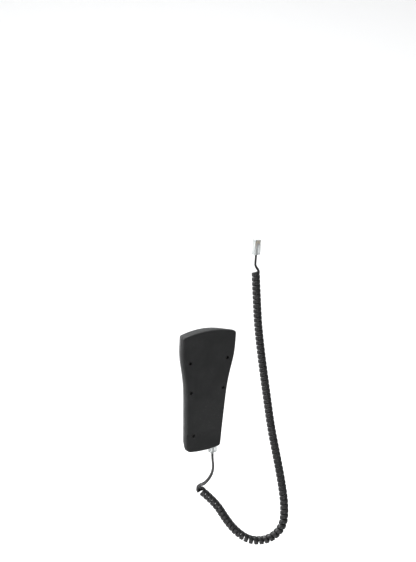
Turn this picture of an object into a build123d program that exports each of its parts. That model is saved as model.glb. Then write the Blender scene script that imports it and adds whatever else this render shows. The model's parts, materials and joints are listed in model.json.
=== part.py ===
"""Hand controller of a computerised telescope mount, with its curly cord.

Frame: +Z runs up the handset towards its display, the keys face -Y and the flat back faces +Y.
The origin is the middle of the handset where its head starts to flare, the place by which a
slotted tray holds it upright. Heights named "w" are counted from the handset's bottom end.
"""

import math
import os

from build123d import *

# Driving dimensions, in millimetres
length = 188.0
seat_height = 96.0  # the origin, above the bottom end
back_y = 11.0  # flat back
parting_y = 4.0  # where the two shells meet
face_y = -11.0  # flat face with the keys
wall = 2.2
side_draft = 7.2  # how much narrower each side is at the face
top_draft = 2.0
bottom_draft = 4.5
bottom_rise = 3.0  # the bottom end is an arc, this much higher at its sides
top_drop = 6.6  # the top end is an arc, this much lower at its sides
bottom_corners = (9.5, 5.0)  # at +X and at -X
top_corner = 4.5
corner_loss = (2.0, 1.0)  # how much tighter the bottom and top corners are at the face
back_round = 2.5
face_round = 3.0

# Half width of the back at heights up the side
side_profile = [
    (30.8, bottom_rise),
    (32.1, 32.0),
    (34.3, 70.0),
    (36.7, 100.0),
    (41.0, 124.0),
    (45.6, 146.0),
    (46.9, 165.0),
    (46.9, length - top_drop),
]

# Thumb ledge across the lower back: a step down, then a slope back out to the bottom end
ledge_top_w = 31.2
ledge_foot_w = 30.9
ledge_depth = 1.5
ledge_end_w = 3.0

# Boards
board_back_y = -2.6
board_front_y = -4.2
board_gap = 0.6
main_board_span = (9.5, 137.0)
display_middle = 160.5
lcd_board_size = (74.0, 25.0)
bezel_size = (68.0, 26.0)
window_size = (64.6, 20.6)
window_opening = (61.0, 17.0)
window_corner = 1.5
window_gap = 0.2
window_thickness = 1.45

# Screws: (x, w) of each
case_screw_places = [(33.0, 142.0), (-33.0, 142.0), (28.5, 96.0), (-28.5, 96.0), (19.4, 27.0)]
board_screw_places = [(22.6, 73.0), (-22.6, 73.0), (29.0, 116.0), (-29.0, 116.0)]
well_radius = 2.5
well_floor_y = 5.8

# Keys: name, x, w, width, height
key_table = [
    ("key_esc", -20.0, 127.0, 12.5, 6.5),
    ("key_setup", 0.0, 127.0, 12.5, 6.5),
    ("key_enter", 20.0, 127.0, 12.5, 6.5),
    ("key_up", 0.0, 113.5, 11.0, 8.0),
    ("key_down", 0.0, 82.5, 11.0, 8.0),
    ("key_left", -16.5, 98.0, 9.5, 10.5),
    ("key_right", 16.5, 98.0, 9.5, 10.5),
    ("key_scroll_up", 0.0, 102.2, 8.0, 5.4),
    ("key_scroll_down", 0.0, 93.8, 8.0, 5.4),
]
digit_pitch_x = 13.5
digit_pitch_w = 12.0
digit_top_w = 64.0
digit_size = (10.0, 7.5)
for digit in range(1, 10):
    column = (digit - 1) % 3 - 1
    row = (digit - 1) // 3
    digit_w = digit_top_w - row * digit_pitch_w
    key_table.append((f"key_{digit}", column * digit_pitch_x, digit_w, *digit_size))
key_table.append(("key_0", 0.0, digit_top_w - 3 * digit_pitch_w, *digit_size))
key_gap = 0.35
key_proud = 1.3
key_corner = 1.8
key_travel = 1.0
flange_lip = 1.0
flange_y = (-8.7, -7.7)
plunger_end_y = -5.4

# Jacks in the bottom end
jack_mouth_w = 9.2
mount_jack_x = -21.0
serial_jack_x = -1.5
power_jack_x = 17.0

# Plug on each end of the cord
plug_size = (11.68, 6.6, 24.0)
plug_y = 4.2
plug_tip_w = 16.0
latch_width = 3.2
latch_thickness = 1.0
latch_length = 17.0
latch_angle = 8.0
shoulder_near = 0.75  # the latch's shoulder clears the plug when it is pressed in
shoulder_far = 1.45

# Cord: a straight tail, a curly part and a straight tail
wire_diameter = 3.6
coil_diameter = 13.2
crimp_length = 9.0
tail_route = [
    (-21, 4.2, -104),
    (-21.3, 4.6, -115),
    (-22.6, 6.7, -127),
    (-21.8, 6.2, -138),
    (-17.8, 3.4, -149),
    (-12.6, -1, -157),
    (-8.8, -4, -162.5),
    (-7.8, -4.7, -166.8),
]
coil_route = [
    (-7.8, -4.7, -166.8),
    (-19.4, 2, -178),
    (-32.6, 11, -193.6),
    (-45, 18, -216),
    (-61, 26, -238),
    (-82, 38, -253.2),
    (-108, 51, -251),
    (-128, 58, -231),
    (-134, 50, -200),
    (-135.6, 36, -166),
    (-135.9, 19, -129),
    (-134, 2, -87),
    (-134, -15, -38),
    (-133, -32, 15),
    (-130, -44, 68),
    (-129, -50, 106),
    (-128, -54, 134),
    (-128, -57, 152),
]
far_tail_route = [(-128, -57, 152), (-126, -57, 162), (-127, -58, 171), (-127, -58, 180)]

parts = {}


def z_of(w):
    """Height in the part's frame of a height counted from the bottom end."""
    return w - seat_height


def prism(sketch, y_back, y_front):
    """The sketch, drawn in X and Z, as a solid from y_back forward to y_front."""
    plane = Plane(origin=(0, y_back, 0), x_dir=(1, 0, 0), z_dir=(0, -1, 0))
    return extrude(plane * sketch, amount=y_back - y_front)


def at(x, w):
    """Place in a sketch of the point (x, w)."""
    return Pos(x, z_of(w))


def block(x, y, z):
    """A box from pairs of limits."""
    size = [high - low for low, high in (x, y, z)]
    middle = [(high + low) / 2 for low, high in (x, y, z)]
    return Pos(*middle) * Box(*size)


def outline(side=0.0, top=0.0, bottom=0.0):
    """The handset seen from the front, with its edges moved in by these amounts."""
    right = [(x - side, z_of(w)) for x, w in side_profile]
    right[0] = (right[0][0], right[0][1] + bottom)
    right[-1] = (right[-1][0], right[-1][1] - top)
    left = [(-x, z) for x, z in reversed(right)]
    edges = [
        ThreePointArc(left[-1], (0, z_of(bottom)), right[0]),
        Spline(*right),
        ThreePointArc(right[-1], (0, z_of(length - top)), left[0]),
        Spline(*left),
    ]
    face = make_face(edges)
    inner = min(side / side_draft, 1.0)
    for (x, z), radius in zip((right[0], left[-1]), bottom_corners):
        corner = face.vertices().sort_by_distance((x, z, 0))[0]
        face = fillet(corner, radius - corner_loss[0] * inner)
    return fillet(face.vertices().sort_by(Axis.Y)[-2:], top_corner - corner_loss[1] * inner)


def outline_at(y, inset=0.0):
    """The outline of the tapered front shell at a depth, moved in by inset."""
    share = (parting_y - y) / (parting_y - face_y)
    return outline(side_draft * share + inset, top_draft * share + inset, bottom_draft * share + inset)


def tapered(y_back, y_front, inset):
    """The front shell's outer form between two depths, moved in by inset."""
    faces = []
    for y in (y_back, y_front):
        plane = Plane(origin=(0, y, 0), x_dir=(1, 0, 0), z_dir=(0, -1, 0))
        faces.append(plane * outline_at(y, inset))
    return loft(faces, ruled=True)


def bottom_openings():
    """What is cut through the bottom end for the plug and the two free sockets."""
    mouth = (z_of(-2.0), z_of(jack_mouth_w))
    cuts = block((mount_jack_x - 6.3, mount_jack_x + 6.3), (0.5, 8.0), mouth)
    cuts += block((mount_jack_x - 3.6, mount_jack_x + 3.6), (-3.4, 0.6), mouth)
    cuts += block((serial_jack_x - 5.5, serial_jack_x + 5.5), (0.5, 8.0), mouth)
    cuts += block((serial_jack_x - 2.6, serial_jack_x + 2.6), (-2.4, 0.6), mouth)
    cuts += Pos(power_jack_x, plug_y, z_of(jack_mouth_w / 2 - 1)) * Cylinder(4.2, jack_mouth_w + 2)
    return cuts


def jack_pocket():
    """Room in the side walls for the jack that the cord's plug sits in."""
    span = (z_of(jack_mouth_w - 0.2), z_of(jack_mouth_w + 14.2))
    pocket = block((mount_jack_x - 6.8, mount_jack_x + 6.8), (0.5, 8.8), span)
    return pocket + block((mount_jack_x - 4.5, mount_jack_x + 4.5), (-2.8, 0.6), span)


def thumb_ledge():
    """What is cut from the lower back: steep at its top, sloping out to nothing at its end."""
    profile = [
        (back_y, z_of(ledge_top_w)),
        (back_y - ledge_depth, z_of(ledge_foot_w)),
        (back_y, z_of(ledge_end_w)),
        (back_y + 1.0, z_of(ledge_end_w)),
        (back_y + 1.0, z_of(ledge_top_w)),
    ]
    plane = Plane(origin=(-60, 0, 0), x_dir=(0, 1, 0), z_dir=(1, 0, 0))
    return extrude(plane * make_face(Polyline(*profile, close=True)), amount=120)


def make_front_shell():
    """Front cover: tapered tray with the window, key openings and screw bosses."""
    outer = tapered(parting_y, face_y, 0.0)
    front_edges = outer.edges().group_by(Axis.Y)[0]
    outer = fillet(front_edges, face_round)
    shell = outer - tapered(parting_y, face_y + wall, wall)
    tongue = prism(outline(wall - 0.9, wall - 0.9, wall - 0.9), parting_y + 1.2, parting_y - 0.5)
    tongue -= prism(outline(wall, wall, wall), parting_y + 1.3, parting_y - 0.6)
    shell += tongue
    bosses = []
    for x, w in case_screw_places:
        bosses.append(prism(at(x, w) * Circle(3.0), parting_y + 0.1, face_y + wall - 0.5))
    for x, w in board_screw_places:
        bosses.append(prism(at(x, w) * Circle(2.2), board_front_y, face_y + wall - 0.5))
    room = tapered(parting_y + 0.2, face_y + 1.0, 1.0)
    for boss in bosses:
        shell += boss & room
    for x, w in case_screw_places:
        shell -= prism(at(x, w) * Circle(1.28), parting_y + 1.0, -5.4)
    for x, w in board_screw_places:
        shell -= prism(at(x, w) * Circle(1.0), board_front_y + 1.0, -8.4)
    rebate_size = [side + 2 * window_gap for side in window_size]
    rebate = at(0, display_middle) * RectangleRounded(*rebate_size, window_corner + window_gap)
    shell -= prism(rebate, face_y + window_thickness + 0.05, face_y - 1.0)
    opening = at(0, display_middle) * RectangleRounded(*window_opening, 1.0)
    shell -= prism(opening, face_y + wall + 1.0, face_y - 1.0)
    for _, x, w, width, height in key_table:
        hole = RectangleRounded(width + 2 * key_gap, height + 2 * key_gap, key_corner + key_gap)
        shell -= prism(at(x, w) * hole, face_y + wall + 1.0, face_y - 1.0)
    return shell - bottom_openings() - jack_pocket()


def make_rear_shell():
    """Rear cover: flat shallow tray with screw wells and a thumb ledge."""
    outer = prism(outline(), back_y, parting_y)
    outer = fillet(outer.edges().group_by(Axis.Y)[-1], back_round)
    shell = outer - prism(outline(wall, wall, wall), back_y - wall, parting_y - 1.0)
    groove = prism(outline(wall - 1.0, wall - 1.0, wall - 1.0), parting_y + 1.3, parting_y - 1.0)
    shell -= groove
    for x, w in case_screw_places:
        shell += prism(at(x, w) * Circle(4.0), back_y - wall + 0.5, parting_y + 0.3) & outer
    for x, w in case_screw_places:
        shell -= prism(at(x, w) * Circle(well_radius), back_y + 1.0, well_floor_y)
        shell -= prism(at(x, w) * Circle(1.45), back_y, parting_y - 1.0)
    return shell - thumb_ledge() - bottom_openings() - jack_pocket()


def make_key(x, w, width, height):
    """A key: its cap, the flange that keeps it in, and its plunger."""
    cap = prism(at(x, w) * RectangleRounded(width, height, key_corner), flange_y[0], face_y - key_proud)
    cap = fillet(cap.edges().group_by(Axis.Y)[0], 0.7)
    flange = at(x, w) * Rectangle(width + 2 * flange_lip, height + 2 * flange_lip)
    plunger = at(x, w) * Rectangle(width / 2, height / 2)
    key = cap + prism(flange, flange_y[1], flange_y[0])
    return key + prism(plunger, plunger_end_y, flange_y[1] - 0.2)


def screws(places, head_radius, head_y, head_height, shank_radius, shank_length):
    """A set of pan head screws driven forward from head_y, with cross recesses."""
    made = []
    for x, w in places:
        screw = prism(at(x, w) * Circle(head_radius), head_y + head_height, head_y)
        top = screw.edges().group_by(Axis.Y)[-1]
        screw = fillet(top, 0.4)
        screw += prism(at(x, w) * Circle(shank_radius), head_y + 0.1, head_y - shank_length)
        for turn in (0, 90):
            slot = at(x, w) * Rot(0, 0, turn) * Rectangle(head_radius * 1.1, 0.5)
            screw -= prism(slot, head_y + head_height + 0.1, head_y + head_height * 0.4)
        made.append(screw)
    return Compound(made)


def make_keypad_mat():
    """Rubber sheet on the board, with a hole round each plunger, light and boss."""
    plate = outline_at(-5.2, wall + 1.4) & at(0, 77.0) * Rectangle(100, 112)
    mat = prism(plate, board_front_y, board_front_y - 1.0)
    for _, x, w, width, height in key_table:
        mat -= prism(at(x, w) * Rectangle(width / 2 + 0.9, height / 2 + 0.9), -4.0, -6.0)
    for x, w in case_screw_places:
        mat -= prism(at(x, w) * Circle(3.6), -4.0, -6.0)
    for x, w in board_screw_places:
        mat -= prism(at(x, w) * Circle(2.8), -4.0, -6.0)
    for x, w in led_places():
        mat -= prism(at(x, w) * Circle(1.5), -4.0, -6.0)
    return mat


def led_places():
    """Lights that shine through the keypad: between the key columns."""
    places = []
    for side in (-1, 1):
        for row in range(3):
            places.append((side * digit_pitch_x / 2, digit_top_w - row * digit_pitch_w))
        for x, w in ((8.5, 106.0), (8.5, 90.0), (10.0, 127.0)):
            places.append((side * x, w))
    return places


def make_main_board():
    """Main circuit board, with clearance holes for the case screw bosses."""
    low, high = main_board_span
    span = at(0, (low + high) / 2) * Rectangle(100, high - low)
    board = prism(outline_at(board_front_y, wall + board_gap) & span, board_back_y, board_front_y)
    for x, w in case_screw_places:
        board -= prism(at(x, w) * Circle(3.5), -2.0, -5.0)
    for x, w in board_screw_places:
        board -= prism(at(x, w) * Circle(1.1), -2.0, -5.0)
    return board


def chips(places, width, height, thickness, legs):
    """Square-legged circuit packages on the back of the board."""
    made = []
    for x, w in places:
        body = prism(at(x, w) * Rectangle(width, height), board_back_y + thickness, board_back_y + 0.2)
        for side in (-1, 1):
            for step in range(legs):
                leg_w = w + (step - (legs - 1) / 2) * height / legs
                leg = at(x + side * (width / 2 + 0.3), leg_w) * Rectangle(1.2, height / legs * 0.5)
                body += prism(leg, board_back_y + 0.45, board_back_y)
        made.append(body)
    return Compound(made)


def make_jack(x, width, mouth_width, keyway_width, contact_count):
    """A modular jack with its wire contacts, on a narrower foot on the back of the board."""
    bottom, top = z_of(jack_mouth_w), z_of(jack_mouth_w + 14.0)
    body = block((x - width / 2, x + width / 2), (0.6, 8.7), (bottom, top))
    foot = keyway_width / 2 + 1.1
    body += block((x - foot, x + foot), (board_back_y, 0.7), (bottom, top))
    body -= block((x - mouth_width / 2, x + mouth_width / 2), (0.8, 8.3), (bottom - 1, top - 1.5))
    body -= block((x - keyway_width / 2, x + keyway_width / 2), (-2.3, 1.0), (bottom - 1, top - 1.5))
    contacts = []
    for step in range(contact_count):
        place = x + (step - (contact_count - 1) / 2) * 1.02
        contacts.append(block((place - 0.2, place + 0.2), (7.75, 8.1), (bottom + 2.0, top - 1.5)))
    return body, Compound(contacts)


def make_power_jack():
    """Power jack and its centre pin."""
    bottom, top = z_of(jack_mouth_w), z_of(jack_mouth_w + 12.0)
    body = block((power_jack_x - 4.5, power_jack_x + 4.5), (board_back_y, 8.7), (bottom, top))
    body -= Pos(power_jack_x, plug_y, bottom + 5.0) * Cylinder(3.1, 10.01)
    pin = Pos(power_jack_x, plug_y, bottom + 5.4) * Cylinder(1.0, 9.2)
    tip = pin.edges().group_by(Axis.Z)[0]
    return body, fillet(tip, 0.5)


def make_plug(x, y, tip_z):
    """Modular plug pointing up: clear body, blades, and the latch with its hinge at the tip."""
    width, thickness, plug_length = plug_size
    low_z = tip_z - plug_length
    body = block((x - width / 2, x + width / 2), (y - thickness / 2, y + thickness / 2), (low_z, tip_z))
    body = fillet(body.edges().filter_by(Axis.Z), 0.4)
    bore = Pos(x, y, low_z + 5.0) * Cylinder(wire_diameter / 2 + 0.05, 10.02)
    body -= bore
    blades = []
    for step in range(8):
        place = x + (step - 3.5) * 1.02
        slot = block((place - 0.2, place + 0.2), (y + 1.6, y + 3.4), (tip_z - 7.0, tip_z - 0.6))
        body -= slot
        blades.append(block((place - 0.16, place + 0.16), (y + 1.7, y + 3.15), (tip_z - 6.8, tip_z - 0.8)))
    return body, Compound(blades), make_latch(x, y - thickness / 2, tip_z)


def make_latch(x, y, tip_z):
    """Latch tab: a tapered strip that leans away from the plug as it runs down."""
    lean = math.tan(math.radians(latch_angle))
    gap = 0.15
    near = [(y - gap, tip_z - 0.4), (y - gap - latch_length * lean, tip_z - 0.4 - latch_length)]
    far = [(py - latch_thickness, pz) for py, pz in reversed(near)]
    profile = make_face(Polyline(*near, *far, close=True))
    plane = Plane(origin=(x - latch_width / 2, 0, 0), x_dir=(0, 1, 0), z_dir=(1, 0, 0))
    strip = extrude(plane * profile, amount=latch_width)
    shoulder_y = (y - gap - shoulder_far, y - gap - shoulder_near)
    shoulder = block((x - 3.0, x + 3.0), shoulder_y, (tip_z - 7.0, tip_z - 2.0))
    return strip + shoulder


def tube(route, diameter, name):
    """A tube along straight runs joined by tangent arcs as large as the runs allow."""
    points = [Vector(*p) for p in route]
    runs = [(b - a).length for a, b in zip(points, points[1:])]
    radii = []
    for before, corner, after in zip(points, points[1:], points[2:]):
        turn = math.radians((corner - before).get_angle(after - corner))
        shorter = min((corner - before).length, (after - corner).length)
        radii.append(0.45 * shorter / math.tan(turn / 2))
    path = FilletPolyline(*points, radius=radii)
    start = Plane(origin=points[0], z_dir=points[1] - points[0])
    solid = sweep(start * Circle(diameter / 2), path=path)
    expected = math.pi * diameter**2 / 4 * path.length
    print(name, "runs", [round(r) for r in runs], "radii", [round(r) for r in radii])
    print(name, "length", round(path.length, 1), "volume share", round(solid.volume / expected, 4))
    return solid


def crimped_end(point):
    """The last of the cord, which reaches up into its plug."""
    x, y, z = point
    return Pos(x, y, z + crimp_length / 2) * Cylinder(wire_diameter / 2, crimp_length)


parts["front_shell"] = make_front_shell()
parts["rear_shell"] = make_rear_shell()
window = at(0, display_middle) * RectangleRounded(*window_size, window_corner)
parts["display_window"] = prism(window, face_y + window_thickness, face_y)
parts["keypad_mat"] = make_keypad_mat()
parts["main_board"] = make_main_board()
parts["case_screws"] = screws(case_screw_places, 2.2, well_floor_y, 1.6, 1.25, 10.0)
parts["board_screws"] = screws(board_screw_places, 1.9, board_back_y, 1.2, 0.95, 5.0)

bezel = prism(at(0, display_middle) * Rectangle(*bezel_size), -4.3, -8.6)
bezel -= prism(at(0, display_middle) * Rectangle(64.0, 22.0), -4.0, -8.0)
bezel -= prism(at(0, display_middle) * Rectangle(60.0, 16.0), -7.0, -9.0)
parts["lcd_frame"] = bezel
parts["lcd_glass"] = prism(at(0, display_middle) * Rectangle(63.4, 21.4), -6.3, -7.95)
parts["lcd_backlight"] = prism(at(0, display_middle) * Rectangle(63.4, 21.4), -4.4, -6.2)
parts["lcd_board"] = prism(at(0, display_middle) * Rectangle(*lcd_board_size), board_back_y, board_front_y)
driver_places = [(-16.0, display_middle), (16.0, display_middle)]
drivers = [prism(at(x, w) * Circle(5.5), board_back_y + 1.4, board_back_y) for x, w in driver_places]
parts["lcd_driver_chips"] = Compound([fillet(d.edges().group_by(Axis.Y)[-1], 1.0) for d in drivers])
link_pins = []
for step in range(14):
    pin_x = (step - 6.5) * 2.54
    link_pins.append(prism(at(pin_x, 142.5) * Rectangle(0.64, 14.0), board_back_y + 0.64, board_back_y))
parts["lcd_link_pins"] = Compound(link_pins)

parts["processor_chip"] = chips([(0.0, 62.0)], 14.0, 14.0, 1.8, 11)
parts["memory_chips"] = chips([(-8.0, 84.0), (10.0, 84.0)], 7.5, 12.0, 1.6, 8)
parts["interface_chip"] = chips([(-2.0, 40.0)], 6.0, 9.0, 1.6, 7)
parts["voltage_regulator"] = chips([(17.5, 44.0)], 6.5, 7.0, 2.2, 3)
crystal_can = prism(at(-15.0, 62.0) * SlotOverall(11.0, 4.6), board_back_y + 3.5, board_back_y)
parts["crystal"] = fillet(crystal_can.edges().group_by(Axis.Y)[-1], 0.5)
can_places = [(17.5, 57.0), (17.5, 66.0), (-16.0, 44.0)]
cans = [prism(at(x, w) * Circle(3.1), board_back_y + 5.8, board_back_y) for x, w in can_places]
parts["capacitors"] = Compound([fillet(c.edges().group_by(Axis.Y)[-1], 0.4) for c in cans])
lights = []
for x, w in led_places():
    lights.append(prism(at(x, w) * Rectangle(1.6, 0.8), board_front_y, board_front_y - 0.6))
parts["key_lights"] = Compound(lights)

for name, x, w, width, height in key_table:
    parts[name] = make_key(x, w, width, height)

parts["mount_jack"], parts["mount_jack_contacts"] = make_jack(mount_jack_x, 13.4, 12.2, 6.6, 8)
parts["serial_jack"], parts["serial_jack_contacts"] = make_jack(serial_jack_x, 12.4, 10.0, 4.2, 6)
parts["power_jack"], parts["power_jack_pin"] = make_power_jack()

near_plug = make_plug(mount_jack_x, plug_y, z_of(plug_tip_w))
parts["plug_body"], parts["plug_contacts"], parts["plug_latch"] = near_plug
far_x, far_y, far_z = far_tail_route[-1]
far_plug = make_plug(far_x, far_y, far_z + plug_size[2])
parts["far_plug_body"], parts["far_plug_contacts"], parts["far_plug_latch"] = far_plug

parts["cord_tail"] = tube(tail_route, wire_diameter, "cord_tail")
parts["cord_tail"] += crimped_end(tail_route[0])
parts["cord_coil"] = tube(coil_route, coil_diameter, "cord_coil")
parts["far_cord_tail"] = tube(far_tail_route, wire_diameter, "far_cord_tail")
parts["far_cord_tail"] += crimped_end(far_tail_route[-1])

os.makedirs("parts", exist_ok=True)
for name, solid in parts.items():
    export_step(solid, f"parts/{name}.step")
print(len(parts), "nodes")
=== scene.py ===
import json
import math

import bmesh
import bpy
import numpy as np
from mathutils import Matrix, Vector


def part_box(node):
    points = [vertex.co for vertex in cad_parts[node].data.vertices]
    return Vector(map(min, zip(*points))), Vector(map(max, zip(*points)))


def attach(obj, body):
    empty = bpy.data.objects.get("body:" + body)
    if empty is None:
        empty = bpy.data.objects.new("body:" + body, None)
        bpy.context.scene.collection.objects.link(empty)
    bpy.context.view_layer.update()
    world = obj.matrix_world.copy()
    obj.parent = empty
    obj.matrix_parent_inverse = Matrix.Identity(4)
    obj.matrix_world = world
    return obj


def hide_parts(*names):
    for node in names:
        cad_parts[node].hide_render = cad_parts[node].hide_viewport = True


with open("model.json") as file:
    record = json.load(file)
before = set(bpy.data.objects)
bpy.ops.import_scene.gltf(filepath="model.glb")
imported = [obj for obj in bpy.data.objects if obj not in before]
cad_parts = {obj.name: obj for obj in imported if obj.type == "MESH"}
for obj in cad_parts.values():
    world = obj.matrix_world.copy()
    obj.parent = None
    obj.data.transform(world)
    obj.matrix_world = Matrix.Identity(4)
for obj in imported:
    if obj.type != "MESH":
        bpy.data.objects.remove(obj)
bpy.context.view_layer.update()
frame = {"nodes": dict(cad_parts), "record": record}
print("frame loaded:", len(frame["nodes"]), "nodes")

cameraView = {
    "place": (0.8129, 1.1366, 0.5120),
    "forward": (-0.563, -0.790, -0.242),
    "up": (-0.092, -0.231, 0.969),  # leans a little, so the handset leans the other way
    "lens": 64.06,
    "near": 0.05,
    "far": 50.0,
}


def makeCamera(view):
    # The camera's axes are right, up and backward, squared up from its aim and its lean.
    forward = Vector(view["forward"]).normalized()
    right = forward.cross(Vector(view["up"])).normalized()
    up = right.cross(forward)
    lensData = bpy.data.cameras.new("studioCamera")
    lensData.lens = view["lens"]
    lensData.clip_start = view["near"]
    lensData.clip_end = view["far"]
    camera = bpy.data.objects.new("studioCamera", lensData)
    bpy.context.scene.collection.objects.link(camera)
    axes = Matrix((right, up, -forward)).transposed().to_4x4()
    camera.matrix_world = Matrix.Translation(view["place"]) @ axes
    bpy.context.scene.camera = camera


makeCamera(cameraView)
print("camera made")

cordLook = {
    "wide": 0.0064,  # the flat cord across its broad side
    "thick": 0.0030,
    "square": 3.2,  # how square the flat cord's section is; 2 is an oval
    "sectionPoints": 20,
    "circle": 0.0051,  # how far the cord's middle runs from the route
    "turns": 78,
    "pointsPerTurn": 24,
    "lead": 0.013,  # of straight cord, over which it moves out to the circle
    "startAngle": 75.0,  # degrees round the route, where the turns start and end
    "tailStep": 0.0025,  # between the points of the straight ends
    "tightest": 0.03,  # the smallest radius of a bend that spreads the turns
    "seat": 0.009,  # how far each end reaches into its plug
    "across": (0.55, 0.83, 0.0),  # a direction that the route never takes
    "length": 2.7,
    "stage": (7, 24),  # the route points where the turns start and end
    "routeSamples": 24,  # to each route point
}
cordRoute = [
    (-0.021, 0.0042, -0.104),
    (-0.0213, 0.0046, -0.115),
    (-0.0226, 0.0067, -0.127),
    (-0.0218, 0.0062, -0.138),
    (-0.0178, 0.0034, -0.149),
    (-0.0126, -0.001, -0.157),
    (-0.0088, -0.004, -0.1625),
    (-0.0078, -0.0047, -0.1668),
    (-0.0194, 0.002, -0.178),
    (-0.0326, 0.011, -0.1936),
    (-0.045, 0.018, -0.216),
    (-0.061, 0.026, -0.238),
    (-0.082, 0.038, -0.2532),
    (-0.108, 0.051, -0.251),
    (-0.128, 0.058, -0.231),
    (-0.134, 0.050, -0.200),
    (-0.1356, 0.036, -0.166),
    (-0.1359, 0.019, -0.129),
    (-0.134, 0.002, -0.087),
    (-0.134, -0.015, -0.038),
    (-0.133, -0.032, 0.015),
    (-0.130, -0.044, 0.068),
    (-0.129, -0.050, 0.106),
    (-0.128, -0.054, 0.134),
    (-0.128, -0.057, 0.152),
    (-0.126, -0.057, 0.162),
    (-0.127, -0.058, 0.171),
    (-0.127, -0.058, 0.180),
]


def meshFrom(made):
    # The shape of a text or curve as a mesh; the text or curve itself is removed.
    bpy.context.view_layer.update()
    mesh = bpy.data.meshes.new_from_object(made.evaluated_get(bpy.context.evaluated_depsgraph_get()))
    data = made.data
    bpy.data.objects.remove(made)
    bpy.data.curves.remove(data)
    return mesh


def vertexArray(mesh):
    flat = np.empty(len(mesh.vertices) * 3)
    mesh.vertices.foreach_get("co", flat)
    return flat.reshape(-1, 3)


def lineSamples(points, samplesPerPoint):
    # Points along the quadratic NURBS line whose control points are the given ones.
    curve = bpy.data.curves.new("route", "CURVE")
    curve.dimensions = "3D"
    curve.resolution_u = samplesPerPoint
    spline = curve.splines.new("NURBS")
    spline.points.add(len(points) - 1)
    spline.points.foreach_set("co", np.column_stack([points, np.ones(len(points))]).ravel())
    spline.order_u = 3
    spline.use_endpoint_u = True
    made = bpy.data.objects.new("route", curve)
    bpy.context.scene.collection.objects.link(made)
    mesh = meshFrom(made)
    samples = vertexArray(mesh)
    bpy.data.meshes.remove(mesh)
    return samples


def unit(vectors):
    return vectors / np.linalg.norm(vectors, axis=-1, keepdims=True)


def smoothStep(share):
    share = np.clip(share, 0.0, 1.0)
    return share * share * (3.0 - 2.0 * share)


def sheetMesh(name, points, aroundU=False, aroundV=False):
    # A sheet of four-sided faces over a grid of points. A way that goes
    # around joins its last line to its first.
    rows, columns = points.shape[:2]
    number = np.arange(rows * columns).reshape(rows, columns)
    if aroundU:
        number = np.concatenate([number, number[:1]], axis=0)
    if aroundV:
        number = np.concatenate([number, number[:, :1]], axis=1)
    corners = [number[:-1, :-1], number[1:, :-1], number[1:, 1:], number[:-1, 1:]]
    faces = np.stack(corners, axis=-1).reshape(-1, 4)
    mesh = bpy.data.meshes.new(name)
    mesh.from_pydata(points.reshape(-1, 3).tolist(), [], faces.tolist())
    return mesh


def closeUp(mesh, apart=1e-7):
    # Merges the points of seams and poles and turns every face outwards.
    work = bmesh.new()
    work.from_mesh(mesh)
    bmesh.ops.remove_doubles(work, verts=work.verts, dist=apart)
    bmesh.ops.recalc_face_normals(work, faces=work.faces)
    work.to_mesh(mesh)
    work.free()
    return mesh


def addPiece(name, mesh, material=None, body=None, smooth=True):
    made = bpy.data.objects.new(name, mesh)
    bpy.context.scene.collection.objects.link(made)
    if smooth:
        mesh.shade_smooth()
    if material:
        mesh.materials.append(material)
    if body:
        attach(made, body)
    return made


def curlyLine(route, look):
    # Walks the route by its length. Between the stage points the cord circles the route. The turns are spread
    # evenly along the inner side of its bends, so they open out on the outer side. The straight cord
    # moves out to the circle by a smooth step before the first turn, and back after the last.
    line = lineSamples(route, look["routeSamples"])
    along = np.concatenate([[0.0], np.linalg.norm(np.diff(line, axis=0), axis=1).cumsum()])
    first, last = (along[np.linalg.norm(line - np.array(route[k]), axis=1).argmin()] for k in look["stage"])
    before = np.arange(0.0, first - look["tailStep"] / 2, look["tailStep"])
    after = np.arange(last + look["tailStep"], along[-1] - look["tailStep"] / 2, look["tailStep"])
    during = np.linspace(first, last, look["turns"] * look["pointsPerTurn"] + 1)
    walk = np.concatenate([before, during, after, along[-1:]])
    middle = np.column_stack([np.interp(walk, along, line[:, k]) for k in range(3)])
    ahead = unit(np.gradient(middle, walk, axis=0))
    across = np.array(look["across"])
    side = unit(across - (ahead @ across)[:, None] * ahead)
    other = np.cross(ahead, side)
    bend = np.linalg.norm(np.gradient(ahead, walk, axis=0), axis=1)
    inner = 1.0 - look["circle"] * np.clip(bend, 0.0, 1.0 / look["tightest"])
    inner = np.where((walk > first) & (walk < last), inner, 0.0)
    turned = np.concatenate([[0.0], np.cumsum((inner[1:] + inner[:-1]) / 2 * np.diff(walk))])
    turned *= look["turns"] / turned[-1]
    opened = smoothStep(np.minimum(walk - first, last - walk) / look["lead"] + 1.0)
    angle = 2.0 * math.pi * turned + math.radians(look["startAngle"])
    out = np.cos(angle)[:, None] * side + np.sin(angle)[:, None] * other
    wire = middle + look["circle"] * opened[:, None] * out
    ends = [wire[0] + [0.0, 0.0, look["seat"]], wire[-1] + [0.0, 0.0, look["seat"]]]
    return np.vstack([ends[0], wire, ends[1]]), np.vstack([out[0], out, out[-1]])


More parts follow.
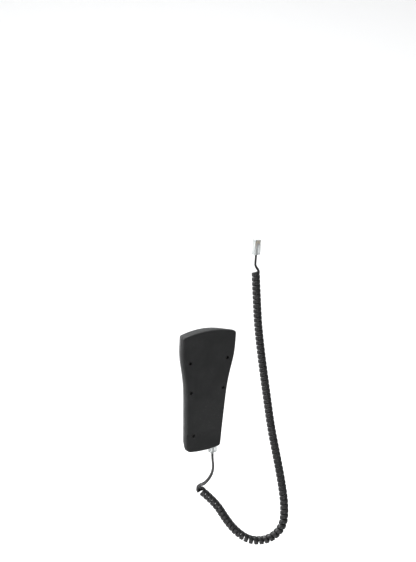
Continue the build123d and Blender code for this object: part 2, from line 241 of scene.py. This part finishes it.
def makeCord(look):
    # A flat cord, carried along its line with its broad side on the coil. Its section is a superellipse: the
    # half width times a signed power of the cosine, and the half thickness times the same power of the sine.
    wire, out = curlyLine(cordRoute, look)
    ahead = unit(np.gradient(wire, axis=0))
    thin = unit(out - np.sum(out * ahead, axis=1, keepdims=True) * ahead)
    broad = np.cross(ahead, thin)
    angle = np.linspace(0.0, 2.0 * math.pi, look["sectionPoints"], endpoint=False)[None, :, None]
    power = 2.0 / look["square"]
    sideways = look["wide"] / 2 * np.sign(np.cos(angle)) * np.abs(np.cos(angle)) ** power
    upward = look["thick"] / 2 * np.sign(np.sin(angle)) * np.abs(np.sin(angle)) ** power
    points = wire[:, None, :] + sideways * broad[:, None, :] + upward * thin[:, None, :]
    mesh = sheetMesh("curly_cord", points, aroundV=True)
    closeUp(mesh)
    length = np.linalg.norm(np.diff(wire, axis=0), axis=1).sum()
    print("curly cord:", len(wire), "points,", round(length, 3), "m")
    return addPiece("curly_cord", mesh), wire


curlyCord, cordLine = makeCord(cordLook)
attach(curlyCord, "root")
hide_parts("cord_tail", "cord_coil", "far_cord_tail")

studio = {
    "floorHeight": -0.62,
    "flatRadius": 1.7,
    "rimRadius": 3.8,
    "rise": 1.9,
    "rings": 60,
    "spokes": 96,
    "paper": (0.53, 0.53, 0.53),
    "paperRough": 0.85,
    "paperGloss": 0.1,
    "sky": (0.93, 0.96, 1.0),
    "skyStrength": 0.35,
}
softLights = [
    # name, place, aim, side, watts
    ("overSoft", (0.2, -0.9, 1.9), (-0.2, -0.5, 0.0), 1.8, 86.0),
    ("sideSoft", (1.7, -0.7, 0.9), (0.0, 0.0, 0.0), 1.2, 66.0),
    ("wallSoft", (-0.4, -0.8, 1.7), (-1.6, -2.4, -0.2), 1.6, 70.0),
    ("backSoft", (0.25, 0.75, 1.05), (0.0, 0.0, -0.02), 0.35, 4.0),
    ("lowSoft", (0.35, 0.80, -0.40), (0.0, 0.01, -0.07), 0.6, 4.5),
]


def makeFloor(look):
    # A round sweep of paper: it is flat out to one radius, and then its height rises by the square of the way
    # to the rim.
    radius = np.linspace(0.0, look["rimRadius"], look["rings"])[:, None]
    angle = np.linspace(0.0, 2.0 * math.pi, look["spokes"], endpoint=False)[None, :]
    climb = np.clip((radius - look["flatRadius"]) / (look["rimRadius"] - look["flatRadius"]), 0.0, 1.0)
    height = look["floorHeight"] + look["rise"] * climb**2
    around = np.broadcast_arrays(radius * np.cos(angle), radius * np.sin(angle), height)
    points = np.stack(around, axis=-1)
    mesh = sheetMesh("studio_floor", points, aroundV=True)
    work = bmesh.new()
    work.from_mesh(mesh)
    bmesh.ops.remove_doubles(work, verts=work.verts, dist=1e-6)
    work.to_mesh(mesh)
    work.free()
    if mesh.polygons[0].normal.z < 0.0:
        mesh.flip_normals()
    paper = bpy.data.materials.new("studioPaper")
    paper.use_nodes = True
    shader = paper.node_tree.nodes["Principled BSDF"]
    shader.inputs["Base Color"].default_value = (*look["paper"], 1.0)
    shader.inputs["Roughness"].default_value = look["paperRough"]
    shader.inputs["Specular IOR Level"].default_value = look["paperGloss"]
    floor = addPiece("studio_floor", mesh, paper)


def makeLights(lights, look):
    for name, place, aim, side, watts in lights:
        lamp = bpy.data.lights.new(name, "AREA")
        lamp.shape = "DISK"
        lamp.size = side
        lamp.energy = watts
        held = bpy.data.objects.new(name, lamp)
        held.visible_camera = False
        bpy.context.scene.collection.objects.link(held)
        toward = Vector(aim) - Vector(place)
        turned = toward.to_track_quat("-Z", "Y").to_matrix().to_4x4()
        held.matrix_world = Matrix.Translation(place) @ turned
    world = bpy.data.worlds.new("studioWorld")
    world.use_nodes = True
    sky = world.node_tree.nodes["Background"]
    sky.inputs["Color"].default_value = (*look["sky"], 1.0)
    sky.inputs["Strength"].default_value = look["skyStrength"]
    bpy.context.scene.world = world
    bpy.context.scene.view_settings.view_transform = "Standard"


makeFloor(studio)
makeLights(softLights, studio)
print("studio made")

shellPlastic = {
    "tones": ((0.0130, 0.0134, 0.0136), (0.0175, 0.0179, 0.0181)),
    "patch": 0.030,
    "rough": (0.46, 0.60),
    "roughPatch": 0.006,
    "grain": 0.00055,
    "grainDepth": 0.00004,
    "gloss": 0.14,
    "wear": {"radius": 0.0007, "tone": (0.045, 0.045, 0.046), "amount": 0.55},
    "dust": {"tone": (0.20, 0.20, 0.19), "size": 0.0022, "amount": 0.22},
}
keyRubber = {
    "tones": ((0.020, 0.020, 0.021), (0.028, 0.028, 0.029)),
    "patch": 0.004,
    "rough": (0.52, 0.66),
    "roughPatch": 0.002,
    "grain": 0.0003,
    "grainDepth": 0.00001,
    "gloss": 0.4,
    "wear": {"radius": 0.0005, "tone": (0.050, 0.050, 0.050), "amount": 0.4},
}
matRubber = {
    "tones": ((0.16, 0.16, 0.165), (0.20, 0.20, 0.205)),
    "patch": 0.012,
    "rough": (0.55, 0.72),
    "roughPatch": 0.004,
    "grain": 0.0004,
    "grainDepth": 0.00001,
    "gloss": 0.4,
}
cordJacket = {
    "tones": ((0.0060, 0.0060, 0.0062), (0.0100, 0.0100, 0.0102)),
    "patch": 0.012,
    "rough": (0.34, 0.50),
    "roughPatch": 0.003,
    "grain": 0.0006,
    "grainDepth": 0.000012,
    "gloss": 0.30,
    "dust": {"tone": (0.16, 0.16, 0.155), "size": 0.0015, "amount": 0.15},
}
jackPlastic = {
    "tones": ((0.012, 0.012, 0.012), (0.018, 0.018, 0.018)),
    "patch": 0.005,
    "rough": (0.32, 0.45),
    "roughPatch": 0.002,
    "grain": 0.0004,
    "grainDepth": 0.000008,
    "gloss": 0.5,
}
backlightPlastic = {
    "tones": ((0.70, 0.71, 0.68), (0.78, 0.79, 0.75)),
    "patch": 0.010,
    "rough": (0.40, 0.52),
    "roughPatch": 0.004,
    "grain": 0.0008,
    "grainDepth": 0.00002,
    "gloss": 0.5,
}
lightPlastic = {
    "tones": ((0.62, 0.10, 0.07), (0.75, 0.16, 0.11)),
    "patch": 0.0008,
    "rough": (0.18, 0.28),
    "roughPatch": 0.0006,
    "grain": 0.0003,
    "grainDepth": 0.000005,
    "gloss": 0.5,
}
screwSteel = {
    "tones": ((0.055, 0.054, 0.052), (0.085, 0.083, 0.080)),
    "patch": 0.0012,
    "rough": (0.24, 0.42),
    "roughPatch": 0.0005,
    "grain": 0.00016,
    "grainDepth": 0.000006,
    "metal": 1.0,
    "wear": {"radius": 0.00025, "tone": (0.16, 0.155, 0.15), "amount": 0.6},
}
bezelSteel = {
    "tones": ((0.52, 0.52, 0.51), (0.62, 0.62, 0.60)),
    "patch": 0.007,
    "rough": (0.26, 0.40),
    "roughPatch": 0.0015,
    "grain": 0.0005,
    "grainDepth": 0.000006,
    "metal": 1.0,
    "stretch": (1.0, 1.0, 14.0),
}
canMetal = {
    "tones": ((0.60, 0.60, 0.61), (0.72, 0.72, 0.73)),
    "patch": 0.002,
    "rough": (0.20, 0.34),
    "roughPatch": 0.0008,
    "grain": 0.0003,
    "grainDepth": 0.000004,
    "metal": 1.0,
    "stretch": (1.0, 8.0, 1.0),
}
pinMetal = {
    "tones": ((0.58, 0.57, 0.54), (0.68, 0.66, 0.62)),
    "patch": 0.0015,
    "rough": (0.18, 0.30),
    "roughPatch": 0.0006,
    "grain": 0.0002,
    "grainDepth": 0.000003,
    "metal": 1.0,
}
contactGold = {
    "tones": ((0.72, 0.47, 0.16), (0.86, 0.60, 0.26)),
    "patch": 0.0010,
    "rough": (0.16, 0.30),
    "roughPatch": 0.0005,
    "grain": 0.0002,
    "grainDepth": 0.000003,
    "metal": 1.0,
}
plugClear = {
    "tones": ((0.66, 0.69, 0.69), (0.80, 0.82, 0.81)),
    "patch": 0.003,
    "rough": (0.08, 0.22),
    "roughPatch": 0.0015,
    "grain": 0.0009,
    "grainDepth": 0.00002,
    "through": 0.62,
    "bend": 1.58,
    "gloss": 0.5,
}
windowAcrylic = {
    "tones": ((0.80, 0.80, 0.81), (0.90, 0.90, 0.91)),
    "patch": 0.020,
    "rough": (0.03, 0.12),
    "roughPatch": 0.009,
    "grain": 0.0040,
    "grainDepth": 0.000004,
    "through": 0.95,
    "bend": 1.49,
    "gloss": 0.5,
}
displayGlass = {
    "tones": ((0.040, 0.062, 0.050), (0.052, 0.078, 0.062)),
    "patch": 0.018,
    "rough": (0.05, 0.11),
    "roughPatch": 0.006,
    "grain": 0.0030,
    "grainDepth": 0.000002,
    "gloss": 0.5,
}
legendInk = {
    "tones": ((0.66, 0.66, 0.64), (0.78, 0.78, 0.75)),
    "patch": 0.0016,
    "rough": (0.42, 0.60),
    "roughPatch": 0.0005,
    "grain": 0.00018,
    "grainDepth": 0.000004,
    "gloss": 0.4,
}
dotInk = {
    "tones": ((0.016, 0.024, 0.020), (0.022, 0.032, 0.026)),
    "patch": 0.004,
    "rough": (0.10, 0.20),
    "roughPatch": 0.002,
    "grain": 0.0005,
    "grainDepth": 0.000001,
    "gloss": 0.5,
}


surfaceNoise = {
    # where each soft noise starts and ends its change, and sizes that every finish shares
    "tone": (0.35, 0.65),
    "dust": (0.60, 0.78),
    "dustDetail": 6.0,
    "dustArea": (0.45, 0.70),
    "dustAreaSize": 14.0,  # times the size of a speck
    "wear": (0.40, 0.62),
    "wearSize": 0.0016,
    "wearDetail": 5.0,
    "rough": (0.3, 0.7),
    "fineGrain": 0.6,  # times the size of the grain
    "edge": (0.995, 0.80),  # cosines between the true normal and the rounded one
}


def joined(tree, kind, **inputs):
    # A shader node with some of its sockets joined to other nodes' outputs or set to numbers.
    made = tree.nodes.new(kind)
    for name, value in inputs.items():
        socket = made.inputs[name.replace("_", " ")]
        if isinstance(value, bpy.types.NodeSocket):
            tree.links.new(value, socket)
        else:
            socket.default_value = value
    return made


def cloud(tree, place, size, detail=3.0):
    # Soft noise whose blotches are about one size across.
    return joined(tree, "ShaderNodeTexNoise", Vector=place, Scale=1.0 / size, Detail=detail).outputs["Fac"]


def ramp(tree, value, low, high, lowOut=0.0, highOut=1.0):
    # A value carried from one range to another and held at its ends.
    made = joined(tree, "ShaderNodeMapRange", Value=value)
    made.inputs["From Min"].default_value = low
    made.inputs["From Max"].default_value = high
    made.inputs["To Min"].default_value = lowOut
    made.inputs["To Max"].default_value = highOut
    return made.outputs["Result"]


def blendTones(tree, share, first, second):
    made = tree.nodes.new("ShaderNodeMix")
    made.data_type = "RGBA"
    tree.links.new(share, made.inputs[0])
    for socket, tone in ((made.inputs[6], first), (made.inputs[7], second)):
        if isinstance(tone, bpy.types.NodeSocket):
            tree.links.new(tone, socket)
        else:
            socket.default_value = (*tone, 1.0)
    return made.outputs[2]


def times(tree, first, second, operation="MULTIPLY"):
    made = tree.nodes.new("ShaderNodeMath")
    made.operation = operation
    made.use_clamp = True
    for socket, value in zip(made.inputs, (first, second)):
        if isinstance(value, bpy.types.NodeSocket):
            tree.links.new(value, socket)
        else:
            socket.default_value = value
    return made.outputs["Value"]


def startFinish(name):
    made = bpy.data.materials.new(name)
    made.use_nodes = True
    tree = made.node_tree
    place = tree.nodes.new("ShaderNodeTexCoord").outputs["Object"]
    return made, tree, tree.nodes["Principled BSDF"], place


def edgeShare(tree, radius):
    # How far the normal turns when edges are rounded by a radius: nothing on flats, most at edges.
    rounded = tree.nodes.new("ShaderNodeBevel")
    rounded.samples = 4
    rounded.inputs["Radius"].default_value = radius
    flat = tree.nodes.new("ShaderNodeNewGeometry").outputs["Normal"]
    dot = tree.nodes.new("ShaderNodeVectorMath")
    dot.operation = "DOT_PRODUCT"
    tree.links.new(rounded.outputs["Normal"], dot.inputs[0])
    tree.links.new(flat, dot.inputs[1])
    return ramp(tree, dot.outputs["Value"], *surfaceNoise["edge"])


def finish(name, look):
    # Two tones blended by soft blotches, worn edges and settled dust over them, a roughness that wanders
    # between two values, and a fine grain as bump.
    made, tree, shader, place = startFinish(name)
    noise = surfaceNoise
    if "stretch" in look:
        place = joined(tree, "ShaderNodeMapping", Vector=place, Scale=look["stretch"]).outputs["Vector"]
    tone = blendTones(tree, ramp(tree, cloud(tree, place, look["patch"]), *noise["tone"]), *look["tones"])
    if "dust" in look:
        dust = look["dust"]
        spots = ramp(tree, cloud(tree, place, dust["size"], noise["dustDetail"]), *noise["dust"])
        area = cloud(tree, place, dust["size"] * noise["dustAreaSize"])
        spread = ramp(tree, area, *noise["dustArea"])
        share = times(tree, times(tree, spots, spread), dust["amount"])
        tone = blendTones(tree, share, tone, dust["tone"])
    if "wear" in look:
        wear = look["wear"]
        broken = ramp(tree, cloud(tree, place, noise["wearSize"], noise["wearDetail"]), *noise["wear"])
        share = times(tree, times(tree, edgeShare(tree, wear["radius"]), broken), wear["amount"])
        tone = blendTones(tree, share, tone, wear["tone"])
    tree.links.new(tone, shader.inputs["Base Color"])
    rough = ramp(tree, cloud(tree, place, look["roughPatch"], 4.0), *noise["rough"], *look["rough"])
    tree.links.new(rough, shader.inputs["Roughness"])
    pits = joined(tree, "ShaderNodeTexVoronoi", Vector=place, Scale=1.0 / look["grain"]).outputs["Distance"]
    fine = cloud(tree, place, look["grain"] * noise["fineGrain"], 4.0)
    height = times(tree, pits, fine, "ADD")
    bump = joined(tree, "ShaderNodeBump", Height=height, Distance=look["grainDepth"])
    tree.links.new(bump.outputs["Normal"], shader.inputs["Normal"])
    shader.inputs["Metallic"].default_value = look.get("metal", 0.0)
    shader.inputs["Specular IOR Level"].default_value = look.get("gloss", 0.5)
    shader.inputs["Transmission Weight"].default_value = look.get("through", 0.0)
    shader.inputs["IOR"].default_value = look.get("bend", 1.5)
    return made


boardLook = {
    "resist": ((0.010, 0.075, 0.035), (0.014, 0.100, 0.046)),
    "resistPatch": 0.02,
    "track": (0.020, 0.150, 0.066),
    "trackPitch": 0.0042,
    "trackEdge": (0.30, 0.33),  # of a cell's own size
    "bands": 0.44,  # to each track pitch
    "bandEdge": (0.45, 0.55),
    "via": (0.60, 0.42, 0.16),
    "viaPitch": 0.0030,
    "viaEdge": (0.15, 0.13),
    "viaMetal": 0.8,
    "rough": (0.24, 0.36),
    "roughPatch": 0.003,
    "copperDepth": 0.00004,
}
chipLook = {
    "epoxy": ((0.013, 0.013, 0.014), (0.022, 0.022, 0.023)),
    "epoxyPatch": 0.0012,
    "epoxyDetail": 6.0,
    "tin": (0.62, 0.62, 0.60),
    "legHeight": 0.00046,
    "legBlur": 0.00002,
    "rough": (0.58, 0.26),
    "grain": 0.0002,
    "grainDepth": 0.00001,
}


def boardFinish(look):
    # Solder resist over copper: tracks follow the edges of square cells where a wave's bands cross them, and
    # plated holes lie at the middle of round cells.
    made, tree, shader, place = startFinish("boardResist")
    cells = tree.nodes.new("ShaderNodeTexVoronoi")
    cells.distance = "CHEBYCHEV"
    cells.feature = "F1"
    tree.links.new(place, cells.inputs["Vector"])
    cells.inputs["Scale"].default_value = 1.0 / look["trackPitch"]
    track = ramp(tree, cells.outputs["Distance"], *look["trackEdge"])
    lines = joined(tree, "ShaderNodeTexWave", Vector=place, Scale=look["bands"] / look["trackPitch"])
    lines.bands_direction = "Z"
    ribbon = times(tree, track, ramp(tree, lines.outputs["Fac"], *look["bandEdge"]))
    blotches = ramp(tree, cloud(tree, place, look["resistPatch"]), *surfaceNoise["tone"])
    base = blendTones(tree, blotches, *look["resist"])
    tone = blendTones(tree, ribbon, base, look["track"])
    holes = joined(tree, "ShaderNodeTexVoronoi", Vector=place, Scale=1.0 / look["viaPitch"])
    ring = ramp(tree, holes.outputs["Distance"], *look["viaEdge"])
    tree.links.new(blendTones(tree, ring, tone, look["via"]), shader.inputs["Base Color"])
    tree.links.new(times(tree, ring, look["viaMetal"]), shader.inputs["Metallic"])
    rough = ramp(tree, cloud(tree, place, look["roughPatch"]), *surfaceNoise["rough"], *look["rough"])
    tree.links.new(rough, shader.inputs["Roughness"])
    height = times(tree, times(tree, ribbon, 0.5), times(tree, ring, 0.5), "ADD")
    bump = joined(tree, "ShaderNodeBump", Height=height, Distance=look["copperDepth"])
    tree.links.new(bump.outputs["Normal"], shader.inputs["Normal"])
    return made


def chipFinish(look, boardTop):
    # Dark moulding above the height of the legs, bright tin below it.
    made, tree, shader, place = startFinish("chipEpoxy")
    depth = tree.nodes.new("ShaderNodeSeparateXYZ")
    tree.links.new(place, depth.inputs[0])
    edge = boardTop + look["legHeight"]
    leg = ramp(tree, depth.outputs["Y"], edge + look["legBlur"], edge - look["legBlur"])
    blotches = cloud(tree, place, look["epoxyPatch"], look["epoxyDetail"])
    blotches = ramp(tree, blotches, *surfaceNoise["rough"])
    base = blendTones(tree, blotches, *look["epoxy"])
    tree.links.new(blendTones(tree, leg, base, look["tin"]), shader.inputs["Base Color"])
    tree.links.new(leg, shader.inputs["Metallic"])
    tree.links.new(ramp(tree, leg, 0.0, 1.0, *look["rough"]), shader.inputs["Roughness"])
    height = cloud(tree, place, look["grain"])
    bump = joined(tree, "ShaderNodeBump", Height=height, Distance=look["grainDepth"])
    tree.links.new(bump.outputs["Normal"], shader.inputs["Normal"])
    return made


shellFinish = finish("shellPlastic", shellPlastic)
keyFinish = finish("keyRubber", keyRubber)
cordFinish = finish("cordJacket", cordJacket)
clearFinish = finish("plugClear", plugClear)
goldFinish = finish("contactGold", contactGold)
inkFinish = finish("legendInk", legendInk)
dotFinish = finish("dotInk", dotInk)
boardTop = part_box("main_board")[1].y
slotFinishes = {
    "shell_plastic": shellFinish,
    "window_acrylic": finish("windowAcrylic", windowAcrylic),
    "keypad_rubber": finish("matRubber", matRubber),
    "key_rubber": keyFinish,
    "circuit_board": boardFinish(boardLook),
    "screw_steel": finish("screwSteel", screwSteel),
    "bezel_steel": finish("bezelSteel", bezelSteel),
    "lcd_glass": finish("displayGlass", displayGlass),
    "backlight_plastic": finish("backlightPlastic", backlightPlastic),
    "chip_plastic": chipFinish(chipLook, boardTop),
    "can_metal": finish("canMetal", canMetal),
    "light_plastic": finish("lightPlastic", lightPlastic),
    "jack_plastic": finish("jackPlastic", jackPlastic),
    "pin_metal": finish("pinMetal", pinMetal),
    "contact_metal": goldFinish,
    "plug_clear": clearFinish,
    "cord_jacket": cordFinish,
}
for part in frame["record"]["subparts"]:
    slots = frame["nodes"][part["node"]].data.materials
    slots.clear()
    slots.append(slotFinishes[part["material_slot"]])
curlyCord.data.materials.append(cordFinish)
print("finishes made:", len(bpy.data.materials))

legendLook = {
    "digitHeight": 0.0054,
    "proud": 0.00004,
    "sunk": 0.00003,
    "arrow": 0.0034,  # from an arrow's middle to its corners, nearly
    "smallArrow": 0.0023,
    "arrowSide": 0.48,  # from an arrow's middle to its sides, times its size
    "arrowPoints": 60,
    "sign": 0.0021,
    "crossBar": 0.42,  # the thickness of a cross's bars, times the sign
    "teeth": 8,
    "toothDepth": 0.14,
    "toothSlope": 3.0,
    "wheelHole": 0.42,
    "wheelPoints": 96,
}


def facePlace(node, look):
    # Where a legend lies: the middle of the key's cap, and the depths of its back and front.
    low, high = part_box(node)
    return (low.x + high.x) / 2, (low.z + high.z) / 2, low.y + look["sunk"], low.y - look["proud"]


def slabMesh(name, outlineX, outlineZ, place):
    # A closed outline carried from a back depth to a front depth, with a flat face on each end.
    x, z, back, front = place
    count = len(outlineX)
    ring = np.arange(count)
    following = (ring + 1) % count
    points = np.concatenate(
        [
            np.column_stack([x + outlineX, np.full(count, depth), z + outlineZ])
            for depth in (back, front)
        ]
    )
    sides = np.column_stack([ring, following, following + count, ring + count]).tolist()
    caps = [ring.tolist(), (ring + count).tolist()]
    mesh = bpy.data.meshes.new(name)
    mesh.from_pydata(points.tolist(), [], sides + caps)
    return closeUp(mesh)


def arrowOutline(size, turn, look):
    # A three-cornered outline: the radius is that of the middle of a side, divided by the cosine of the angle
    # from there.
    angle = np.linspace(0.0, 2.0 * math.pi, look["arrowPoints"], endpoint=False)
    third = 2.0 * math.pi / 3.0
    radius = size * look["arrowSide"] / np.cos((angle % third) - third / 2.0)
    angle = angle + math.radians(turn)
    return radius * np.cos(angle), radius * np.sin(angle)


def crossOutline(size, thick):
    # Two bars crossed at a right angle and turned by an eighth.
    arm = size
    half = thick / 2
    corners = np.array(
        [
            (half, half), (arm, half), (arm, -half), (half, -half), (half, -arm), (-half, -arm),
            (-half, -half), (-arm, -half), (-arm, half), (-half, half), (-half, arm), (half, arm),
        ]
    )
    turn = math.radians(45.0)
    x = corners[:, 0] * math.cos(turn) - corners[:, 1] * math.sin(turn)
    z = corners[:, 0] * math.sin(turn) + corners[:, 1] * math.cos(turn)
    return x, z


def enterOutline(size):
    # A bent arrow that points back along its shaft.
    corners = size * np.array(
        [
            (-1.25, -0.15), (-0.35, 0.55), (-0.35, 0.10), (0.75, 0.10), (0.75, 0.95),
            (1.20, 0.95), (1.20, -0.40), (-0.35, -0.40), (-0.35, -0.85),
        ]
    )
    return corners[:, 0], corners[:, 1]


def wheelMesh(name, place, look):
    # A toothed ring: its outer radius follows a flattened wave round the angle, its inner one is constant.
    x, z, back, front = place
    count = look["wheelPoints"]
    angle = np.linspace(0.0, 2.0 * math.pi, count, endpoint=False)
    tooth = np.clip(look["toothSlope"] * np.cos(look["teeth"] * angle), -1.0, 1.0)
    outer = look["sign"] * (1.0 + look["toothDepth"] * tooth)
    inner = np.full(count, look["sign"] * look["wheelHole"])
    rings = [(outer, back), (outer, front), (inner, front), (inner, back)]
    points = np.stack(
        [
            np.column_stack([x + radius * np.cos(angle), np.full(count, depth), z + radius * np.sin(angle)])
            for radius, depth in rings
        ]
    )
    return closeUp(sheetMesh(name, points, aroundU=True, aroundV=True))


def digitMesh(name, digit, place, look):
    # A numeral drawn flat and thick, then stood up against the key's cap.
    x, z, back, front = place
    text = bpy.data.curves.new(name, "FONT")
    text.body = digit
    text.size = look["digitHeight"]
    text.align_x = "CENTER"
    text.align_y = "CENTER"
    text.extrude = (back - front) / 2
    text.resolution_u = 4
    holder = bpy.data.objects.new(name, text)
    bpy.context.scene.collection.objects.link(holder)
    mesh = meshFrom(holder)
    points = vertexArray(mesh)
    middle = (points.min(axis=0) + points.max(axis=0)) / 2
    depth = (back + front) / 2 - points[:, 2]
    stood = np.column_stack([points[:, 0] - middle[0] + x, depth, points[:, 1] - middle[1] + z])
    mesh.vertices.foreach_set("co", stood.ravel())
    return closeUp(mesh, 1e-8)


def makeLegends(look):
    arrows = {
        "key_up": (look["arrow"], 90.0),
        "key_down": (look["arrow"], -90.0),
        "key_left": (look["arrow"], 180.0),
        "key_right": (look["arrow"], 0.0),
        "key_scroll_up": (look["smallArrow"], 90.0),
        "key_scroll_down": (look["smallArrow"], -90.0),
    }
    keys = [part["node"] for part in frame["record"]["subparts"] if part["node"].startswith("key_")]
    keys = [node for node in keys if node != "key_lights"]
    for node in keys:
        place = facePlace(node, look)
        name = node.replace("key_", "legend_")
        if node in arrows:
            mesh = slabMesh(name, *arrowOutline(*arrows[node], look), place)
        elif node == "key_esc":
            outline = crossOutline(look["sign"], look["sign"] * look["crossBar"])
            mesh = slabMesh(name, *outline, place)
        elif node == "key_enter":
            mesh = slabMesh(name, *enterOutline(look["sign"]), place)
        elif node == "key_setup":
            mesh = wheelMesh(name, place, look)
        else:
            mesh = digitMesh(name, node[-1], place, look)
        addPiece(name, mesh, inkFinish, node + "_body", smooth=False)
    print("legends made:", len(keys))


makeLegends(legendLook)

displayLook = {
    "rows": 2,
    "columns": 18,
    "cell": (0.00318, 0.0062),
    "dots": (5, 8),
    "dot": (0.00050, 0.00060),
    "dotPitch": (0.00055, 0.00066),
    "proud": 0.00001,
}


def spaced(count, pitch):
    # Places a pitch apart, with their middle at zero.
    return (np.arange(count) - (count - 1) / 2) * pitch


def makeDots(look):
    # Every dot of the display is a flat four-sided face: rows and columns of cells, each with its dots.
    low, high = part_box("lcd_glass")
    middleX, middleZ = (low.x + high.x) / 2, (low.z + high.z) / 2
    columns = spaced(look["columns"], look["cell"][0])
    rows = spaced(look["rows"], look["cell"][1])
    across = (columns[:, None] + spaced(look["dots"][0], look["dotPitch"][0])).ravel()
    upward = (rows[:, None] + spaced(look["dots"][1], look["dotPitch"][1])).ravel()
    x, z = (grid.ravel() for grid in np.meshgrid(across, upward))
    half = np.array(look["dot"]) / 2
    corner = np.array([(-1, -1), (1, -1), (1, 1), (-1, 1)]) * half
    points = np.empty((len(x), 4, 3))
    points[:, :, 0] = middleX + x[:, None] + corner[:, 0]
    points[:, :, 1] = low.y - look["proud"]
    points[:, :, 2] = middleZ + z[:, None] + corner[:, 1]
    faces = np.arange(len(x) * 4).reshape(-1, 4)
    mesh = bpy.data.meshes.new("display_dots")
    mesh.from_pydata(points.reshape(-1, 3).tolist(), [], faces.tolist())
    addPiece("display_dots", mesh, dotFinish, "root", smooth=False)
    print("display dots:", len(x))


makeDots(displayLook)

strandLook = {
    "radius": 0.00042,
    "bunch": 0.00095,  # from the bunch's middle to the middles of its strands
    "rise": 0.0083,  # from the plug's lower end to the bunch
    "back": 0.0012,  # from the plug's middle plane to the row
    "rowMargin": 0.00016,
    "headRoom": 0.0008,
    "spreadShare": 0.62,  # of the way, after which the strands run straight
    "linePoints": 18,
    "sectionPoints": 10,
    "shade": 0.85,  # the darker tone of a strand, times its tint
    "rough": (0.35, 0.5),
    "patch": 0.002,
    "tints": [
        (0.30, 0.13, 0.05), (0.70, 0.70, 0.66), (0.04, 0.22, 0.07), (0.05, 0.12, 0.42),
        (0.62, 0.24, 0.03), (0.42, 0.03, 0.03), (0.62, 0.52, 0.05), (0.03, 0.03, 0.03),
    ],
}


def strandFinish(number, tint, look):
    darker = tuple(look["shade"] * part for part in tint)
    own = dict(cordJacket, tones=(darker, tint), rough=look["rough"], patch=look["patch"])
    own.pop("dust")
    return finish("strand" + str(number), own)


def makeStrands(name, body, contacts, look, tints):
    # Thin wires inside the plug, one for each tint: each runs from a round bunch at the jacket's end to a flat
    # row under the blades by a smooth step, with a round section carried along it.
    low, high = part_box(body)
    bladeLow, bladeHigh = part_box(contacts)
    middleX = (low.x + high.x) / 2
    middleY = (low.y + high.y) / 2
    count = len(tints)
    bunchAngle = 2.0 * math.pi * np.arange(count) / count
    start = np.column_stack(
        [
            middleX + look["bunch"] * np.cos(bunchAngle),
            middleY + look["bunch"] * np.sin(bunchAngle),
            np.full(count, low.z + look["rise"]),
        ]
    )
    row = np.linspace(bladeLow.x + look["rowMargin"], bladeHigh.x - look["rowMargin"], count)
    rowY = np.full(count, middleY + look["back"])
    end = np.column_stack([row, rowY, np.full(count, high.z - look["headRoom"])])
    start = start[np.argsort(start[:, 0], kind="stable")]
    share = np.linspace(0.0, 1.0, look["linePoints"])
    step = smoothStep(share / look["spreadShare"])
    angle = np.linspace(0.0, 2.0 * math.pi, look["sectionPoints"], endpoint=False)
    section = look["radius"] * np.stack([np.cos(angle), np.sin(angle), np.zeros(len(angle))], axis=-1)
    work = bmesh.new()
    for spot in range(count):
        line = start[spot] + (end[spot] - start[spot]) * step[:, None]
        line[:, 2] = start[spot, 2] + (end[spot, 2] - start[spot, 2]) * share
        points = line[:, None, :] + section
        ends = [np.repeat(line[k][None, None, :], len(angle), axis=1) for k in (0, -1)]
        points = np.concatenate([ends[0], points, ends[1]])
        strand = sheetMesh(name, points, aroundV=True)
        strand.polygons.foreach_set("material_index", np.full(len(strand.polygons), spot))
        work.from_mesh(strand)
        bpy.data.meshes.remove(strand)
    mesh = bpy.data.meshes.new(name)
    work.to_mesh(mesh)
    work.free()
    for tint in tints:
        mesh.materials.append(tint)
    return addPiece(name, closeUp(mesh), None, "root")


strandTints = [strandFinish(k, tint, strandLook) for k, tint in enumerate(strandLook["tints"])]
makeStrands("plug_strands", "plug_body", "plug_contacts", strandLook, strandTints)
farStrands = makeStrands("far_plug_strands", "far_plug_body", "far_plug_contacts", strandLook, strandTints)
print("strands made")

bpy.context.view_layer.update()
